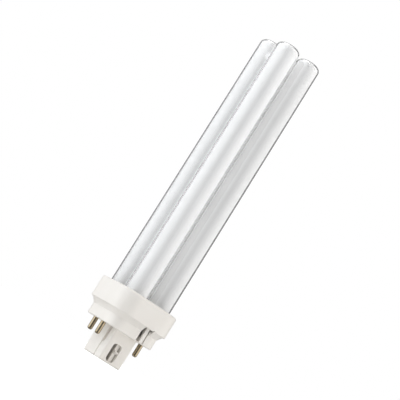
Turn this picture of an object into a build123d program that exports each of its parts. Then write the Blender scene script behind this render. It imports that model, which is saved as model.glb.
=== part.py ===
from build123d import *
import os

# A plug-in compact fluorescent lamp: four joined glass legs in a square moulded cap with four contact pins.
# The origin is on the lamp's axis at the roots of the pins, +Z runs to the tips and the front faces -Y.

# Glass discharge tube
tube_d = 11.8
tube_gap = 2.0
tip_z = 150.7
tip_shoulder_r = 2.5
tip_crown = 0.5
bridge_d = 6.4
bridge_flare = 1.4
bridge_bury = 2.6
tip_bridge_drop = 8.0
base_bridge_rise = 6.0
leg_reach = 7.7
foot_chamfer = 1.6
seal_w = 7.6
seal_t = 2.8
seal_corner_r = 0.9
seal_length = 2.6

# Collar that holds the legs
collar_h = 10.6
collar_wall = 2.5
collar_top_t = 2.0
collar_corner_r = 9.2
collar_top_round = 1.2
collar_edge_chamfer = 0.3
tube_margin = 1.25
leg_clearance = 0.2
skirt_t = 0.9
skirt_lap = 2.2
rim_notch_r = 0.6
rim_notch_x = 5.75
bond_gap = 0.1
cement_t = 4.2

# Cap moulding: neck, flange and keyed post
neck_h = 7.5
neck_corner_r = 6.5
neck_wall = 1.3
neck_floor = 2.2
neck_edge_chamfer = 0.3
flare_h = 2.4
flange_clearance = 0.1
least_corner_r = 0.5
post_x = 12.9
post_y = 16.0
post_length = 14.9
post_corner_r = 1.0
post_end_round = 0.6
post_wall = 1.2
post_floor = 1.5

# Keyways on the post's sides, deepest beside the neck, and a window with a toothed spring in front and behind
key_w = 2.2
key_depth = 2.6
key_end_depth = 0.4
key_deep_h = 4.5
key_ramp_h = 3.0
key_offset = 3.5
window_x = -0.9
window_w = 4.8
window_h = 8.7
window_corner_r = 1.6
window_start = 5.3
window_depth = 2.7
spring_x = 0.15
spring_w = 1.7
spring_t = 0.9
spring_inset = 1.5
spring_anchor = 0.4
tooth_drop = 8.9
tooth_h = 1.7
tooth_flat = 0.5
tooth_proud = 0.6

# Latch tongues that clip the collar to the cap, one in front and one behind
latch_x = 4.25
latch_w = 1.7
latch_slot_w = 1.9
latch_slit_w = 0.6
latch_slot_depth = 3.0
latch_root_z = 0.35
latch_hook = 0.4
latch_hook_h = 1.2
latch_hook_tip_h = 0.4
latch_hook_rise = 0.7
latch_clearance = 0.1

# Contact pins and the lead wires that feed them
pin_spacing_x = 22.9
pin_spacing_y = 7.6
pin_d = 2.4
pin_length = 6.2
pin_tip_r = 0.9
pin_margin = 1.15
pin_bead_d = 2.6
pin_bead_t = 0.5
pin_shank_d = 2.0
pin_tail = 3.0
pin_bore_d = 0.9
pin_bore_depth = 3.0
pin_clearance = 0.05
boss_wall = 1.4
boss_h = 2.2
wire_d = 0.6
wire_spread = 3.2
wire_bend_r = 0.5
wire_bend_share = 0.8

# Places that follow from those sizes
tube_r = tube_d / 2
pitch = tube_d + tube_gap
leg_at = pitch / 2
bridge_half = tube_gap / 2 + bridge_bury
pin_x = pin_spacing_x / 2
pin_y = pin_spacing_y / 2
pin_top_z = neck_floor + pin_tail

collar_top_z = neck_h + collar_h
collar_ceiling_z = collar_top_z - collar_top_t
cavity_w = pitch + tube_d + 2 * tube_margin
collar_w = cavity_w + 2 * collar_wall
skirt_in_w = collar_w - 2 * skirt_t
flange_w = skirt_in_w - 2 * flange_clearance
flange_top_z = neck_h + skirt_lap
flare_z = neck_h - flare_h
neck_w = pin_spacing_x + pin_d + 2 * pin_margin

foot_z = collar_top_z - leg_reach
seal_z = foot_z - seal_length
wire_run_z = (seal_z + pin_top_z) / 2
wire_bend = min(wire_bend_r, wire_bend_share * (seal_z - wire_run_z))
post_face_y = post_y / 2
well_face_y = post_face_y - window_depth
window_foot_z = -window_start - window_h
spring_face_y = post_face_y - spring_inset
neck_face_y = neck_w / 2
flange_face_y = flange_w / 2
latch_hook_z = neck_h + latch_hook_rise
latch_left_x = latch_x - latch_w / 2
latch_cut_depth = flange_face_y - neck_face_y + latch_slot_depth


def inner_corner(inset, outer=collar_corner_r):
    """The corner radius of an outline that runs parallel to an outer one, inset from it."""
    return max(outer - inset, least_corner_r)


skirt_corner_r = inner_corner(skirt_t)
flange_corner_r = inner_corner(skirt_t + flange_clearance)
cavity_corner_r = inner_corner(collar_wall)
hollow_corner_r = inner_corner(neck_wall, neck_corner_r)
hollow_flange_corner_r = inner_corner(neck_wall, flange_corner_r)

# What stands on the front is repeated behind by half a turn about the lamp's axis.
half_turns = PolarLocations(0, 2).locations


def round_edges(turned):
    """The full circles of a turned piece, from the lowest to the highest."""
    return turned.edges().filter_by(lambda edge: edge.is_closed).sort_by(Axis.Z)


# One glass leg about its own axis, closed at both ends
with BuildPart() as leg:
    with BuildSketch(Plane.XZ):
        with BuildLine():
            crown_edge = (tube_r, tip_z - tip_crown)
            Polyline((0, tip_z), (0, foot_z), (tube_r, foot_z), crown_edge)
            TangentArc((0, tip_z), crown_edge, tangent=(1, 0))
        make_face()
    revolve(axis=Axis.Z)
    fillet(round_edges(leg)[-1], radius=tip_shoulder_r)
    chamfer(round_edges(leg)[0], length=foot_chamfer)

# A short glass bridge between two legs, flared where it melts into them, lying along X
with BuildPart() as bridge:
    with BuildSketch(Plane.XY):
        with BuildLine():
            waist = (0, bridge_d / 2)
            flare_left = (-bridge_half, bridge_d / 2 + bridge_flare)
            flare_right = (bridge_half, bridge_d / 2 + bridge_flare)
            ThreePointArc(flare_left, waist, flare_right)
            Polyline(flare_right, (bridge_half, 0), (-bridge_half, 0), flare_left)
        make_face()
    revolve(axis=Axis.X)

# The sealed tube: legs one after the other, joined near the tips on each side and near the base behind.
# The two front legs hold the cathodes, so their feet end in a press seal for the lead wires.
with BuildPart() as discharge_tube:
    with GridLocations(pitch, pitch, 2, 2):
        add(leg.part)
    for side in (-leg_at, leg_at):
        with Locations(Location((side, 0, tip_z - tip_bridge_drop), (0, 0, 90))):
            add(bridge.part)
    with Locations((0, leg_at, collar_top_z + base_bridge_rise)):
        add(bridge.part)
    with BuildSketch(Plane.XY.offset(seal_z)):
        with Locations((-leg_at, -leg_at), (leg_at, -leg_at)):
            RectangleRounded(seal_t, seal_w, seal_corner_r)
    extrude(amount=seal_length + foot_chamfer)
discharge_tube.part.label = "discharge_tube"

# Collar: a square cup turned over the legs, with a thin skirt that laps the cap's flange
with BuildPart() as tube_collar:
    with BuildSketch(Plane.XY.offset(neck_h)):
        RectangleRounded(collar_w, collar_w, collar_corner_r)
    extrude(amount=collar_h)
    fillet(tube_collar.faces().sort_by(Axis.Z)[-1].edges(), radius=collar_top_round)
    chamfer(tube_collar.faces().sort_by(Axis.Z)[0].edges(), length=collar_edge_chamfer)
    with BuildSketch(Plane.XY.offset(neck_h)):
        RectangleRounded(skirt_in_w, skirt_in_w, skirt_corner_r)
    extrude(amount=skirt_lap, mode=Mode.SUBTRACT)
    with BuildSketch(Plane.XY.offset(flange_top_z)):
        RectangleRounded(cavity_w, cavity_w, cavity_corner_r)
    extrude(amount=collar_ceiling_z - flange_top_z, mode=Mode.SUBTRACT)
    with Locations((0, 0, collar_top_z)):
        with GridLocations(pitch, pitch, 2, 2):
            Hole(radius=tube_r + leg_clearance, depth=collar_top_t)
    for turn in half_turns:
        with Locations(turn):
            with Locations((rim_notch_x, -collar_w / 2, neck_h)):
                Cylinder(rim_notch_r, 2 * skirt_t, rotation=(90, 0, 0), mode=Mode.SUBTRACT)
            with Locations((latch_x, -flange_face_y, latch_hook_z + latch_hook_h / 2)):
                pocket_w = latch_w + 2 * latch_clearance
                pocket_depth = 2 * (latch_hook + latch_clearance)
                Box(pocket_w, pocket_depth, latch_hook_h + 2 * latch_clearance, mode=Mode.SUBTRACT)
tube_collar.part.label = "tube_collar"

# Cement poured round the legs under the collar's top
with BuildPart() as cement_bed:
    with BuildSketch(Plane.XY.offset(collar_ceiling_z - cement_t)):
        cement_w = cavity_w - 2 * bond_gap
        RectangleRounded(cement_w, cement_w, inner_corner(collar_wall + bond_gap))
        with GridLocations(pitch, pitch, 2, 2):
            Circle(tube_r + bond_gap, mode=Mode.SUBTRACT)
    extrude(amount=cement_t)
cement_bed.part.label = "cement_bed"

# The space inside the cap: the post's well, the neck, and the flare that follows the flange,
# less a boss that stands up round each pin
with BuildPart() as cap_hollow:
    with BuildSketch(Plane.XY.offset(post_floor - post_length)):
        Rectangle(post_x - 2 * (key_depth + post_wall), 2 * well_face_y)
    extrude(amount=post_length - post_floor + neck_floor)
    with BuildSketch(Plane.XY.offset(neck_floor)):
        hollow_w = neck_w - 2 * neck_wall
        RectangleRounded(hollow_w, hollow_w, hollow_corner_r)
    extrude(amount=flare_z - neck_floor)
    with BuildSketch(Plane.XY.offset(flare_z)):
        RectangleRounded(hollow_w, hollow_w, hollow_corner_r)
    with BuildSketch(Plane.XY.offset(neck_h)):
        hollow_flange_w = flange_w - 2 * neck_wall
        RectangleRounded(hollow_flange_w, hollow_flange_w, hollow_flange_corner_r)
    loft()
    with BuildSketch(Plane.XY.offset(neck_h)):
        RectangleRounded(hollow_flange_w, hollow_flange_w, hollow_flange_corner_r)
    extrude(amount=skirt_lap)
    with BuildSketch(Plane.XY.offset(neck_floor)):
        with GridLocations(pin_spacing_x, pin_spacing_y, 2, 2):
            Circle(pin_shank_d / 2 + boss_wall)
    extrude(amount=boss_h, mode=Mode.SUBTRACT)

# Cap: the neck under its flange and the keyed post, moulded as one shell
with BuildPart() as cap_body:
    with BuildSketch(Plane.XY):
        RectangleRounded(neck_w, neck_w, neck_corner_r)
    extrude(amount=flare_z)
    chamfer(cap_body.faces().sort_by(Axis.Z)[0].edges(), length=neck_edge_chamfer)
    with BuildSketch(Plane.XY.offset(flare_z)):
        RectangleRounded(neck_w, neck_w, neck_corner_r)
    with BuildSketch(Plane.XY.offset(neck_h)):
        RectangleRounded(flange_w, flange_w, flange_corner_r)
    loft()
    with BuildSketch(Plane.XY.offset(neck_h)):
        RectangleRounded(flange_w, flange_w, flange_corner_r)
    extrude(amount=skirt_lap)
    with BuildSketch(Plane.XY.offset(-post_length)):
        RectangleRounded(post_x, post_y, post_corner_r)
    extrude(amount=post_length)
    fillet(cap_body.faces().sort_by(Axis.Z)[0].edges(), radius=post_end_round)
    add(cap_hollow.part, mode=Mode.SUBTRACT)
    # slots that free the latch tongue from the neck's wall, and the flare cut back in front of it
    for turn in half_turns:
        with Locations(turn):
            slot_h = flange_top_z - latch_root_z
            for slot_w, place in (
                (latch_slot_w, latch_left_x - latch_slot_w / 2),
                (latch_slit_w, latch_x + (latch_w + latch_slit_w) / 2),
            ):
                with Locations((place, -flange_face_y + latch_cut_depth / 2, latch_root_z + slot_h / 2)):
                    Box(slot_w, latch_cut_depth, slot_h, mode=Mode.SUBTRACT)
            relief_w = rim_notch_x + rim_notch_r - latch_left_x
            relief_h = flare_h + skirt_lap
            relief_y = -(flange_face_y + neck_face_y) / 2
            with Locations((latch_left_x + relief_w / 2, relief_y, flare_z + relief_h / 2)):
                Box(relief_w, flange_face_y - neck_face_y, relief_h, mode=Mode.SUBTRACT)
    for face in (-1, 1):
        # keyway down one side of the post: deep beside the neck, then ramping out to a shallow groove
        with BuildSketch(Plane.XZ.offset(-face * key_offset)):
            with BuildLine():
                key_floor = post_x / 2 - key_depth
                key_end = post_x / 2 - key_end_depth
                Polyline(
                    (face * post_x / 2, 0),
                    (face * key_floor, 0),
                    (face * key_floor, -key_deep_h),
                    (face * key_end, -key_deep_h - key_ramp_h),
                    (face * key_end, -post_length),
                    (face * post_x / 2, -post_length),
                    close=True,
                )
            make_face()
        extrude(amount=key_w / 2, both=True, mode=Mode.SUBTRACT)
        # window through the post's wall into its well
        with BuildSketch(Plane.XZ.offset(-face * post_face_y)):
            with Locations((-face * window_x, -window_start - window_h / 2)):
                RectangleRounded(window_w, window_h, window_corner_r)
        extrude(amount=face * window_depth, mode=Mode.SUBTRACT)
        # spring down the window, held at both ends, with a tooth for the holder to click behind
        with BuildSketch(Plane.YZ.offset(-face * spring_x)):
            with BuildLine():
                Polyline(
                    (face * (spring_face_y - spring_t), window_foot_z - spring_anchor),
                    (face * spring_face_y, window_foot_z - spring_anchor),
                    (face * spring_face_y, -tooth_drop - tooth_h / 2),
                    (face * (post_face_y + tooth_proud), -tooth_drop - tooth_flat / 2),
                    (face * (post_face_y + tooth_proud), -tooth_drop + tooth_flat / 2),
                    (face * spring_face_y, -tooth_drop + tooth_h / 2),
                    (face * spring_face_y, -window_start + spring_anchor),
                    (face * (spring_face_y - spring_t), -window_start + spring_anchor),
                    close=True,
                )
            make_face()
        extrude(amount=spring_w / 2, both=True)
        # latch tongue standing straight up from the neck's wall, with a hook that reaches into the collar
        with BuildSketch(Plane.YZ.offset(-face * latch_x)):
            with BuildLine():
                Polyline(
                    (face * (neck_face_y - neck_wall), neck_floor),
                    (face * neck_face_y, neck_floor),
                    (face * neck_face_y, latch_hook_z),
                    (face * (flange_face_y + latch_hook), latch_hook_z),
                    (face * (flange_face_y + latch_hook), latch_hook_z + latch_hook_tip_h),
                    (face * neck_face_y, latch_hook_z + latch_hook_h),
                    (face * (neck_face_y - neck_wall), latch_hook_z + latch_hook_h),
                    close=True,
                )
            make_face()
        extrude(amount=latch_w / 2, both=True)
    # stepped bore for each pin
    for x in (-pin_x, pin_x):
        for y in (-pin_y, pin_y):
            with Locations(Plane(origin=(x, y, 0), z_dir=(0, 0, -1)).location):
                CounterBoreHole(
                    radius=pin_shank_d / 2 + pin_clearance,
                    counter_bore_radius=pin_bead_d / 2 + pin_clearance,
                    counter_bore_depth=pin_bead_t,
                    depth=pin_top_z,
                )
cap_body.part.label = "cap_body"

os.makedirs("parts", exist_ok=True)
for piece in (discharge_tube, tube_collar, cement_bed, cap_body):
    export_step(piece.part, f"parts/{piece.part.label}.step")

# A contact pin and its lead wire at each corner of the pin pattern
for side_name, side in (("left", -1), ("right", 1)):
    for end_name, end in (("front", -1), ("rear", 1)):
        root = Vector(side * pin_x, end * pin_y, 0)
        with BuildPart() as contact_pin:
            with BuildSketch(Plane(origin=root, x_dir=(1, 0, 0), z_dir=(0, -1, 0))):
                with BuildLine():
                    tip_start = (pin_d / 2 - pin_tip_r, -pin_length)
                    tip_end = (pin_d / 2, pin_tip_r - pin_length)
                    RadiusArc(tip_start, tip_end, -pin_tip_r)
                    Polyline(
                        tip_end,
                        (pin_d / 2, 0),
                        (pin_bead_d / 2, 0),
                        (pin_bead_d / 2, pin_bead_t),
                        (pin_shank_d / 2, pin_bead_t),
                        (pin_shank_d / 2, pin_top_z),
                        (pin_bore_d / 2, pin_top_z),
                        (pin_bore_d / 2, pin_top_z - pin_bore_depth),
                        (0, pin_top_z - pin_bore_depth),
                        (0, -pin_length),
                        tip_start,
                    )
                make_face()
            revolve(axis=Axis(root, (0, 0, 1)))
        contact_pin.part.label = f"contact_pin_{end_name}_{side_name}"
        export_step(contact_pin.part, f"parts/{contact_pin.part.label}.step")

        seal_exit = Vector(side * leg_at, -leg_at + end * wire_spread / 2, seal_z)
        drop = Vector(0, 0, wire_run_z - seal_z)
        over_pin = root + Vector(0, 0, wire_run_z)
        bore_end = root + Vector(0, 0, pin_top_z - pin_bore_depth)
        with BuildPart() as lead_wire:
            with BuildLine():
                FilletPolyline(seal_exit, seal_exit + drop, over_pin, bore_end, radius=wire_bend)
            with BuildSketch(Plane(origin=seal_exit, z_dir=(0, 0, -1))):
                Circle(wire_d / 2)
            sweep()
        lead_wire.part.label = f"lead_wire_{end_name}_{side_name}"
        export_step(lead_wire.part, f"parts/{lead_wire.part.label}.step")
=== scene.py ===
# %% [markdown]
# # A plug-in compact fluorescent lamp
# Four white-coated glass legs stand in a square moulded collar. Under it is the cap, with a keyed post
# and brass contact pins. The measured model comes in first and is never moved: it says where everything
# is, and every cell below either gives one of its pieces a finish or models a finer piece in its place.

# %% Load the measured model
import math

import bpy
from mathutils import Matrix, Vector


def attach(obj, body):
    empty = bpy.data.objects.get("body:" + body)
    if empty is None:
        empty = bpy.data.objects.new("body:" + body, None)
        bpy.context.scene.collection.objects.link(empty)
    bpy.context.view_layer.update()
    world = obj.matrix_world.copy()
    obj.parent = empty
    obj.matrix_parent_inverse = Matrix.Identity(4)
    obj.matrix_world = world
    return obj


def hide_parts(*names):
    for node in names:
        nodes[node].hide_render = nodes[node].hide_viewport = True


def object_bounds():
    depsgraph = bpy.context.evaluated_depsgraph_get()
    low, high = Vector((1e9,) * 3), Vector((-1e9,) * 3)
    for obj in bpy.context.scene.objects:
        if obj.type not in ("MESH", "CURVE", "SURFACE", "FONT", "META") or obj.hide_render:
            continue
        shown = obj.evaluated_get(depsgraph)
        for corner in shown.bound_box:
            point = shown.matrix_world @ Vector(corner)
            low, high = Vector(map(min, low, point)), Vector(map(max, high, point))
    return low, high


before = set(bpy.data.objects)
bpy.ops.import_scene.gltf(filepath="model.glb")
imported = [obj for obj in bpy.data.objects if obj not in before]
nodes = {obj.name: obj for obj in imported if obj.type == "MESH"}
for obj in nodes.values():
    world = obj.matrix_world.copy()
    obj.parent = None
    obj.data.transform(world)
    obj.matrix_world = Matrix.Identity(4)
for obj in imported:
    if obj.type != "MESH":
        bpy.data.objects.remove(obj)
cad_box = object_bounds()
mm = 0.001
print("lamp box in mm:", [[round(c / mm, 1) for c in corner] for corner in cad_box])

# %% [markdown]
# ## The camera
# The picture was taken from the lamp's front left, a little below its middle, and turned so that the
# tubes lean to the right. A long lens keeps the four legs nearly parallel. The camera could be parented
# to an empty and orbited, but its place follows plainly from two angles and a distance, so it is worked
# out once: first look at the aim point, then roll about the line of sight.

# %% Camera at the photograph's angle
view_azimuth = math.radians(31.08)
view_elevation = math.radians(-7.65)
view_roll = math.radians(31.98)
view_distance = 604.5 * mm
aim = Vector((0, 0, 70.05 * mm))
focal_pixels = 1326.1
frame_pixels = 400
shift_pixels = (-0.65, -0.16)
# Blender gives a camera's film and lens in millimetres, unlike everything else here
film_width = 36.0

towards_camera = Vector((
    -math.sin(view_azimuth) * math.cos(view_elevation),
    -math.cos(view_azimuth) * math.cos(view_elevation),
    math.sin(view_elevation),
))
bpy.ops.object.camera_add(location=aim + view_distance * towards_camera)
camera = bpy.context.object
camera.name = "camera"
look = towards_camera.to_track_quat("Z", "Y").to_matrix().to_4x4()
roll = Matrix.Rotation(view_roll, 4, "Z")
camera.matrix_world = Matrix.Translation(camera.location) @ look @ roll
camera.data.sensor_width = film_width
camera.data.lens = film_width * focal_pixels / frame_pixels
camera.data.shift_x = shift_pixels[0] / frame_pixels
camera.data.shift_y = shift_pixels[1] / frame_pixels
camera.data.clip_start = 1 * mm
bpy.context.scene.camera = camera
print("lens in mm:", round(camera.data.lens, 2))


# %% [markdown]
# ## Colours and nodes
# A colour is written as it is picked on a screen, as sRGB hex, while a shader adds up light, so it wants
# linear values. One function turns the one into the other. Another adds a node with its settings and
# links in one call, and a third starts a material with the coordinates that its patterns read. Those are
# Object coordinates: they are in metres and stay with the piece, so a pattern's size can be a real one.

# %% Helpers for every finish
def linear(hex_colour):
    """An sRGB hex colour as linear red, green, blue and alpha."""
    channels = [int(hex_colour[i:i + 2], 16) / 255 for i in (1, 3, 5)]
    return [c / 12.92 if c <= 0.04045 else ((c + 0.055) / 1.055) ** 2.4 for c in channels] + [1.0]


def add_node(tree, kind, settings=None, links=None, **fields):
    """Adds a node: settings are socket values by name, links are sockets by name, fields its options."""
    node = tree.nodes.new(kind)
    for name, value in fields.items():
        setattr(node, name, value)
    for name, value in (settings or {}).items():
        node.inputs[name].default_value = value
    for name, source in (links or {}).items():
        tree.links.new(source, node.inputs[name])
    return node


def new_material(name):
    """A material with an empty tree, and the place on the piece that its patterns read."""
    material = bpy.data.materials.new(name)
    material.use_nodes = True
    tree = material.node_tree
    tree.nodes.clear()
    return material, tree, add_node(tree, "ShaderNodeTexCoord").outputs["Object"]


# a Mix node has sockets of the same name for each kind of value, so its colours go by number
colour_a, colour_b, mixed_colour = 6, 7, 2
print("half grey on a screen is", round(linear("#808080")[0], 3), "in light")

# %% [markdown]
# ## Glass envelope and phosphor coat
# Each leg is clear glass with a white powder settled on its inside. The powder lies loose on the glass, so
# at each edge of a leg, where the eye looks along the wall, the light is turned back before it reaches the
# powder, and a thin clear rim shows whatever stands behind the lamp. A white tube with painted edges would
# be quicker, but wrong from most sides, so both layers are modelled. Each starts as a copy of the measured
# tube with its doubled points merged: the envelope gets its wall from a Solidify modifier, and the coat
# is drawn in along its normals until it lies just inside that wall.

# %% Copies of the measured tube
merge_distance = 0.001 * mm
# at 50 the Weighted Normal modifier weighs faces by their size, and at 100 the largest ones decide
largest_faces_decide = 100
tube = nodes["discharge_tube"]


def tube_copy(name):
    """A copy of the measured tube, its doubled points merged, as the only selected object."""
    piece = bpy.data.objects.new(name, tube.data.copy())
    bpy.context.collection.objects.link(piece)
    bpy.ops.object.select_all(action="DESELECT")
    piece.select_set(True)
    bpy.context.view_layer.objects.active = piece
    bpy.ops.mesh.customdata_custom_splitnormals_clear()
    bpy.ops.object.mode_set(mode="EDIT")
    bpy.ops.mesh.select_all(action="SELECT")
    bpy.ops.mesh.remove_doubles(threshold=merge_distance)
    bpy.ops.object.mode_set(mode="OBJECT")
    bpy.ops.object.shade_smooth()
    piece.data.materials.clear()
    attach(piece, "root")
    return piece


def even_shading(piece):
    """Lets the long faces of a leg, not the small ones at its ends, say how the leg catches the light."""
    weighted = piece.modifiers.new("even_shading", "WEIGHTED_NORMAL")
    weighted.weight = largest_faces_decide
    bpy.ops.object.modifier_apply(modifier="even_shading")


print("measured tube of", len(tube.data.polygons), "faces")

# %% [markdown]
# The envelope has two of its ray switches turned off. Light on its way from a lamp, and light that has
# bounced off something dull, then goes by as if the glass were not there. Real glass would let it through
# too, but a renderer gives a path of light only a few see-through steps. Two layers of glass on each of
# four legs use them up, and the gaps between the legs would turn dark.

# %% Glass envelope
glass_wall = 0.6 * mm

envelope = tube_copy("glass_envelope")
solidify = envelope.modifiers.new("wall", "SOLIDIFY")
solidify.thickness = glass_wall
solidify.offset = -1
solidify.use_even_offset = True
bpy.ops.object.modifier_apply(modifier="wall")
even_shading(envelope)
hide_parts("discharge_tube")
envelope.visible_diffuse = False
envelope.visible_shadow = False
print("envelope of", len(envelope.data.polygons), "faces")

# %% Phosphor coat
powder_gap = 0.04 * mm

coat = tube_copy("phosphor_coat")
bpy.ops.object.mode_set(mode="EDIT")
bpy.ops.mesh.select_all(action="SELECT")
bpy.ops.transform.shrink_fatten(value=-(glass_wall + powder_gap), use_even_offset=True)
bpy.ops.object.mode_set(mode="OBJECT")
even_shading(coat)
across = [v.co.x for v in coat.data.vertices]
coat_width = round((max(across) - min(across)) / mm, 2)
print("coat is", coat_width, "mm across, of", len(coat.data.polygons), "faces")

# %% [markdown]
# ## Phosphor powder
# The powder is dull and chalk white. It is thin enough to pass part of the light that falls on the tube's
# far side, so a leg that is lit from one side glows a little all round. A Translucent shader beside a
# Diffuse one does that, and scattering inside a solid would be slower and no truer for so thin a layer.
# The powder drained down the tube as a slurry, which leaves faint long clouds in it.

# %% Phosphor powder
powder_white = linear("#F5F5F5")
powder_thin = linear("#F1F1F1")
passed_share = 0.5
cloud_size = [5 * mm, 5 * mm, 40 * mm]

powder, tree, place = new_material("phosphor_powder")
stretch = add_node(tree, "ShaderNodeMapping", {"Scale": [1 / s for s in cloud_size]}, {"Vector": place})
clouds = add_node(tree, "ShaderNodeTexNoise", {"Scale": 1, "Detail": 3}, {"Vector": stretch.outputs[0]})
tone = add_node(tree, "ShaderNodeMix", {colour_a: powder_white, colour_b: powder_thin},
                {"Factor": clouds.outputs["Fac"]}, data_type="RGBA")
front = add_node(tree, "ShaderNodeBsdfDiffuse", links={"Color": tone.outputs[mixed_colour]})
through = add_node(tree, "ShaderNodeBsdfTranslucent", links={"Color": tone.outputs[mixed_colour]})
layer = add_node(tree, "ShaderNodeMixShader", {"Fac": passed_share},
                 {1: front.outputs[0], 2: through.outputs[0]})
add_node(tree, "ShaderNodeOutputMaterial", links={"Surface": layer.outputs[0]})
coat.data.materials.append(powder)
print("powder on", powder.users, "piece, which passes", passed_share, "of the light")

# %% [markdown]
# ## Drawn glass
# The envelope is drawn soda-lime glass: clear, and smooth but for a shallow ripple along the tube, which
# only a reflection shows. Light that comes out through the powder counts as transmitted, and the envelope
# must stay in sight of transmitted rays or the clear rim would be lost. So no ray switch can spare that
# light the glass, and the material does it instead: its Light Path turns the glass see-through for light
# that last met something dull, while the camera and reflections meet real glass.

# %% Drawn glass
glass_ior = 1.52
glass_roughness = 0.03
ripple_size = [2.5 * mm, 2.5 * mm, 60 * mm]
ripple_height = 0.0008 * mm

glass, tree, place = new_material("drawn_soda_lime_glass")
stretch = add_node(tree, "ShaderNodeMapping", {"Scale": [1 / s for s in ripple_size]}, {"Vector": place})
ripple = add_node(tree, "ShaderNodeTexNoise", {"Scale": 1, "Detail": 1}, {"Vector": stretch.outputs[0]})
bump = add_node(tree, "ShaderNodeBump", {"Distance": ripple_height}, {"Height": ripple.outputs["Fac"]})
clear = add_node(tree, "ShaderNodeBsdfPrincipled", {
    "Base Color": (1, 1, 1, 1), "Roughness": glass_roughness, "IOR": glass_ior, "Transmission Weight": 1,
}, {"Normal": bump.outputs[0]})
gone = add_node(tree, "ShaderNodeBsdfTransparent")
path = add_node(tree, "ShaderNodeLightPath")
dull_light = add_node(tree, "ShaderNodeMath", operation="MAXIMUM",
                      links={0: path.outputs["Is Shadow Ray"], 1: path.outputs["Is Diffuse Ray"]})
wall = add_node(tree, "ShaderNodeMixShader",
                links={"Fac": dull_light.outputs[0], 1: clear.outputs[0], 2: gone.outputs[0]})
add_node(tree, "ShaderNodeOutputMaterial", links={"Surface": wall.outputs[0]})
envelope.data.materials.append(glass)
print("glass on", glass.users, "piece, of IOR", glass_ior)

# %% [markdown]
# ## Moulded plastic
# The collar and the cap are injection-moulded PBT, a warm white that stands the heat of the tube. The
# mould's spark-eroded steel leaves a fine grain that breaks the gloss to a satin, and no moulded edge is
# truly sharp. The edges could be bevelled in the mesh, but the measured mesh stays as it is, so a Bevel
# node rounds only the shading there, and the grain's bump sits on top of it. Where the melt flowed, the
# white shifts by a hair.

# %% Moulded plastic
plastic_white = linear("#FCF8F2")
plastic_shade = linear("#F9F4ED")
plastic_ior = 1.5
satin_least, satin_most = 0.34, 0.46
# real spark-eroded grain is near 0.1 mm, too fine for this picture, so it is drawn coarser
grain_size = 0.3 * mm
grain_height = 0.006 * mm
flow_size = 7 * mm
edge_round = 0.2 * mm

cap_plastic, tree, place = new_material("moulded_pbt")
flow = add_node(tree, "ShaderNodeTexNoise", {"Scale": 1 / flow_size, "Detail": 2}, {"Vector": place})
tone = add_node(tree, "ShaderNodeMix", {colour_a: plastic_white, colour_b: plastic_shade},
                {"Factor": flow.outputs["Fac"]}, data_type="RGBA")
grain = add_node(tree, "ShaderNodeTexNoise", {"Scale": 1 / grain_size, "Detail": 2}, {"Vector": place})
satin = add_node(tree, "ShaderNodeMapRange", {"To Min": satin_least, "To Max": satin_most},
                 {"Value": grain.outputs["Fac"]})
soft_edge = add_node(tree, "ShaderNodeBevel", {"Radius": edge_round}, samples=6)
bump = add_node(tree, "ShaderNodeBump", {"Distance": grain_height},
                {"Height": grain.outputs["Fac"], "Normal": soft_edge.outputs[0]})
shader = add_node(tree, "ShaderNodeBsdfPrincipled", {"IOR": plastic_ior}, {
    "Base Color": tone.outputs[mixed_colour], "Roughness": satin.outputs[0], "Normal": bump.outputs[0],
})
add_node(tree, "ShaderNodeOutputMaterial", links={"Surface": shader.outputs[0]})
for name in ("tube_collar", "cap_body"):
    nodes[name].material_slots[0].material = cap_plastic
print("moulded plastic on", cap_plastic.users, "pieces")

# %% [markdown]
# ## Basing cement
# Under the collar's rim the legs stand in a cast cement, of which only a hairline shows round each leg.
# It is a dull, gritty filler, so one noise for its tone and its grit, and no gloss, are enough.

# %% Basing cement
cement_pale = linear("#D9D4C8")
cement_dark = linear("#C2BCAE")
cement_roughness = 0.9
grit_size = 0.5 * mm
grit_height = 0.05 * mm

basing_cement, tree, place = new_material("cast_basing_cement")
grit = add_node(tree, "ShaderNodeTexNoise", {"Scale": 1 / grit_size, "Detail": 4}, {"Vector": place})
tone = add_node(tree, "ShaderNodeMix", {colour_a: cement_pale, colour_b: cement_dark},
                {"Factor": grit.outputs["Fac"]}, data_type="RGBA")
bump = add_node(tree, "ShaderNodeBump", {"Distance": grit_height}, {"Height": grit.outputs["Fac"]})
shader = add_node(tree, "ShaderNodeBsdfPrincipled", {"Roughness": cement_roughness},
                  {"Base Color": tone.outputs[mixed_colour], "Normal": bump.outputs[0]})
add_node(tree, "ShaderNodeOutputMaterial", links={"Surface": shader.outputs[0]})
nodes["cement_bed"].material_slots[0].material = basing_cement
print("cement on", basing_cement.users, "piece")

# %% [markdown]
# ## Brass and wire
# The pins are cut from drawn brass rod, a pale grey gold that is a little tarnished by handling. Drawing
# leaves hair-fine lines along the rod, so a noise stretched along the pins drives the roughness, and a
# larger one the tarnish. The lead wires inside the cap are the same idea in nickel-iron, so one function
# makes both finishes.

# %% A drawn metal
# real draw lines are near 0.02 mm, too fine for this picture, so they are drawn coarser and longer
line_length = 30
line_depth = 0.003 * mm


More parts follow.
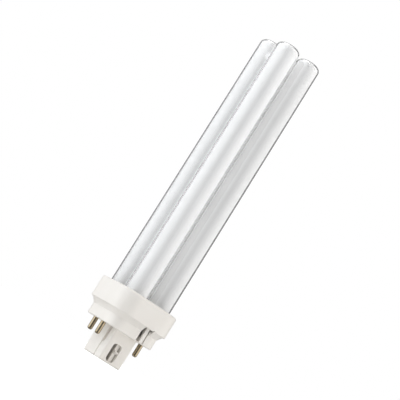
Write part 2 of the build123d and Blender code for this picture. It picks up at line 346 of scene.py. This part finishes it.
def drawn_metal(name, bright, tarnished, line_width, tarnish_size, smooth, rough):
    """A metal drawn along the lamp's axis: fine lengthwise lines, and clouds of tarnish."""
    material, tree, place = new_material(name)
    clouds = add_node(tree, "ShaderNodeTexNoise", {"Scale": 1 / tarnish_size, "Detail": 3}, {"Vector": place})
    tone = add_node(tree, "ShaderNodeMix", {colour_a: linear(bright), colour_b: linear(tarnished)},
                    {"Factor": clouds.outputs["Fac"]}, data_type="RGBA")
    line_scale = [1 / line_width, 1 / line_width, 1 / (line_length * line_width)]
    stretch = add_node(tree, "ShaderNodeMapping", {"Scale": line_scale}, {"Vector": place})
    lines = add_node(tree, "ShaderNodeTexNoise", {"Scale": 1, "Detail": 2}, {"Vector": stretch.outputs[0]})
    gloss = add_node(tree, "ShaderNodeMapRange", {"To Min": smooth, "To Max": rough},
                     {"Value": lines.outputs["Fac"]})
    bump = add_node(tree, "ShaderNodeBump", {"Distance": line_depth}, {"Height": lines.outputs["Fac"]})
    shader = add_node(tree, "ShaderNodeBsdfPrincipled", {"Metallic": 1}, {
        "Base Color": tone.outputs[mixed_colour], "Roughness": gloss.outputs[0], "Normal": bump.outputs[0],
    })
    add_node(tree, "ShaderNodeOutputMaterial", links={"Surface": shader.outputs[0]})
    return material


# %% Brass pins and nickel-iron wires
pin_brass = drawn_metal("drawn_brass", bright="#B4A78F", tarnished="#85775F",
                        line_width=0.12 * mm, tarnish_size=1.5 * mm, smooth=0.12, rough=0.28)
lead_wire = drawn_metal("drawn_nickel_iron", bright="#B4B2AE", tarnished="#8C8A86",
                        line_width=0.08 * mm, tarnish_size=3 * mm, smooth=0.25, rough=0.45)
for name, node in nodes.items():
    if name.startswith("contact_pin"):
        node.material_slots[0].material = pin_brass
    elif name.startswith("lead_wire"):
        node.material_slots[0].material = lead_wire
print("brass on", pin_brass.users, "pins, nickel-iron on", lead_wire.users, "wires")

# %% [markdown]
# ## The paper floor
# The lamp stands on its post on white paper. The picture's ground is pure white. More light would bleach
# the lamp as well, so instead the paper glows to the camera alone, by what its own light lacks, and the
# lamp's shadow still shows. The softboxes light the far paper less, so there it lacks more. Reflections
# pass the floor by and show the white room, or in a view from above each glass edge would change colour
# halfway up, where the mirrored floor ends.

# %% Paper floor
paper_size = 8
paper_white = linear("#F2F2F2")
near, far = 0.3, 1.5
near_lack, far_lack = 0.6, 0.9
post_end = cad_box[0][2]

bpy.ops.object.select_all(action="DESELECT")
bpy.ops.mesh.primitive_plane_add(size=paper_size, location=(0, 0, post_end))
floor = bpy.context.object
floor.name = "floor"
white_paper, tree, place = new_material("white_paper")
shader = add_node(tree, "ShaderNodeBsdfDiffuse", {"Color": paper_white})
path = add_node(tree, "ShaderNodeLightPath")
reach = add_node(tree, "ShaderNodeVectorMath", links={0: place}, operation="LENGTH")
lack = add_node(tree, "ShaderNodeMapRange",
                {"From Min": near, "From Max": far, "To Min": near_lack, "To Max": far_lack},
                {"Value": reach.outputs["Value"]})
glow = add_node(tree, "ShaderNodeMath", links={0: path.outputs["Is Camera Ray"], 1: lack.outputs[0]},
                operation="MULTIPLY")
lift = add_node(tree, "ShaderNodeEmission", {"Color": (1, 1, 1, 1)}, {"Strength": glow.outputs[0]})
both = add_node(tree, "ShaderNodeAddShader", links={0: shader.outputs[0], 1: lift.outputs[0]})
add_node(tree, "ShaderNodeOutputMaterial", links={"Surface": both.outputs[0]})
floor.data.materials.append(white_paper)
floor.visible_glossy = False
print("paper at", round(post_end / mm, 1), "mm, under the post's end")

# %% [markdown]
# ## Black cards
# A studio stands black cards round a shiny thing to draw dark edges on clear glass and a dark streak down
# a bright pin. Here one stands at the camera and two behind the lamp, seen by shiny surfaces and through
# glass alone. A card with sharp edges would be mirrored as a band with sharp edges, so each is black down
# its middle and fades to nothing at its left and right.


# %% Black card
def around(bearing, height, distance):
    """A place round the lamp: the bearing is from the camera's side, in degrees to the left."""
    turn = view_azimuth + math.radians(bearing)
    return aim + Vector((-math.sin(turn) * distance, -math.cos(turn) * distance, height))


def facing_lamp(place):
    """The turn of a card or softbox that stands at a place and faces the lamp's middle."""
    return (place - aim).to_track_quat("Z", "Y").to_euler()


# the card is a plane of size 1, so half of that is at its edge
card_edge = 0.5
black_card, tree, place = new_material("black_card")
split = add_node(tree, "ShaderNodeSeparateXYZ", links={0: place})
sideways = add_node(tree, "ShaderNodeMath", links={0: split.outputs["X"]}, operation="ABSOLUTE")
fade = add_node(tree, "ShaderNodeMapRange", {"From Max": card_edge}, {"Value": sideways.outputs[0]},
                interpolation_type="SMOOTHSTEP")
dark = add_node(tree, "ShaderNodeBsdfDiffuse", {"Color": (0, 0, 0, 1)})
gone = add_node(tree, "ShaderNodeBsdfTransparent")
shader = add_node(tree, "ShaderNodeMixShader",
                  links={"Fac": fade.outputs[0], 1: dark.outputs[0], 2: gone.outputs[0]})
add_node(tree, "ShaderNodeOutputMaterial", links={"Surface": shader.outputs[0]})
print("a card fades out over", card_edge, "of its width on each side")

# %% Three flags
card_distance = 0.8
card_height = 3


def flag(name, bearing, width):
    """A tall black card facing the lamp, seen in shiny surfaces and through glass alone."""
    place = around(bearing, 0, card_distance)
    bpy.ops.mesh.primitive_plane_add(size=2 * card_edge, location=place)
    card = bpy.context.object
    card.name = name
    card.rotation_euler = facing_lamp(place)
    card.scale = (width, card_height, 1)
    card.data.materials.append(black_card)
    card.visible_camera = False
    card.visible_diffuse = False
    card.visible_shadow = False


flag("camera_flag", bearing=0, width=0.7)
flag("right_rear_flag", bearing=-150, width=0.75)
flag("left_rear_flag", bearing=150, width=0.75)
print("black cards:", black_card.users)

# %% [markdown]
# ## The white room
# The world stands for the white room round the set. It is white to the camera and through glass, half as
# bright in reflections, so that the softboxes' mirror images stand out in the glass, and dim as a light,
# so that the softboxes and not the room shape the tubes.

# %% World
mirrored_room = 0.5
room_light = 0.12

world = bpy.data.worlds.new("studio")
bpy.context.scene.world = world
world.use_nodes = True
tree = world.node_tree
tree.nodes.clear()
path = add_node(tree, "ShaderNodeLightPath")
seen = add_node(tree, "ShaderNodeMath", operation="MAXIMUM",
                links={0: path.outputs["Is Camera Ray"], 1: path.outputs["Is Transmission Ray"]})
in_mirror = add_node(tree, "ShaderNodeMath", {1: mirrored_room}, {0: path.outputs["Is Glossy Ray"]},
                     operation="MULTIPLY")
shown = add_node(tree, "ShaderNodeMath", links={0: seen.outputs[0], 1: in_mirror.outputs[0]},
                 operation="MAXIMUM")
strength = add_node(tree, "ShaderNodeMath", {1: room_light}, {0: shown.outputs[0]}, operation="MAXIMUM")
background = add_node(tree, "ShaderNodeBackground", {"Color": (1, 1, 1, 1)},
                      {"Strength": strength.outputs[0]})
add_node(tree, "ShaderNodeOutputWorld", links={"Surface": background.outputs[0]})
print("room light:", room_light, "of white")


# %% [markdown]
# ## Softboxes
# Two wide softboxes stand left and right, and a small one behind the lamp keeps its far side from going
# grey. The tubes are then brightest on their flanks and darkest down the middle, where their glass mirrors
# neither box. A plain area light is equally bright to its edge, which the glass would mirror as a band
# with a hard side. A real softbox is brightest in the middle, so a light's own nodes fade each one out to
# its left and right.

# %% Softboxes
box_distance = 1.0
box_rise = 0.35
box_height = 2.4
# Parametric runs from 0 to 1 across a light, so half is its middle
box_middle = 0.5


def softbox(name, bearing, width, power, colour, mirrored=True):
    """A large light on the lamp's middle, fading to its left and right edges as a real softbox does."""
    place = around(bearing, box_rise, box_distance)
    bpy.ops.object.light_add(type="AREA", location=place)
    light = bpy.context.object
    light.name = name
    light.rotation_euler = facing_lamp(place)
    light.visible_glossy = mirrored
    light.data.shape = "RECTANGLE"
    light.data.size = width
    light.data.size_y = box_height
    light.data.energy = power
    light.data.use_nodes = True
    tree = light.data.node_tree
    tree.nodes.clear()
    spot = add_node(tree, "ShaderNodeNewGeometry")
    split = add_node(tree, "ShaderNodeSeparateXYZ", links={0: spot.outputs["Parametric"]})
    inset = add_node(tree, "ShaderNodeMath", {1: box_middle}, {0: split.outputs["X"]}, operation="PINGPONG")
    fade = add_node(tree, "ShaderNodeMapRange", {"From Max": box_middle}, {"Value": inset.outputs[0]},
                    interpolation_type="SMOOTHSTEP")
    emit = add_node(tree, "ShaderNodeEmission", {"Color": linear(colour)}, {"Strength": fade.outputs[0]})
    add_node(tree, "ShaderNodeOutputLight", links={"Surface": emit.outputs[0]})
    print(name, "of", power, "W, at", bearing, "degrees left of the camera")


softbox("left_softbox", bearing=72, width=2.8, power=42.3, colour="#F9FCFF")
softbox("right_softbox", bearing=-78, width=2.8, power=34.5, colour="#FFFEFC")
softbox("rear_fill", bearing=153, width=0.6, power=11, colour="#FFFFFF", mirrored=False)

# %% [markdown]
# ## The end
# The Standard view shows a colour as it was written, with no film curve laid over it.

# %% Colour view and the end
bpy.context.scene.view_settings.view_transform = "Standard"
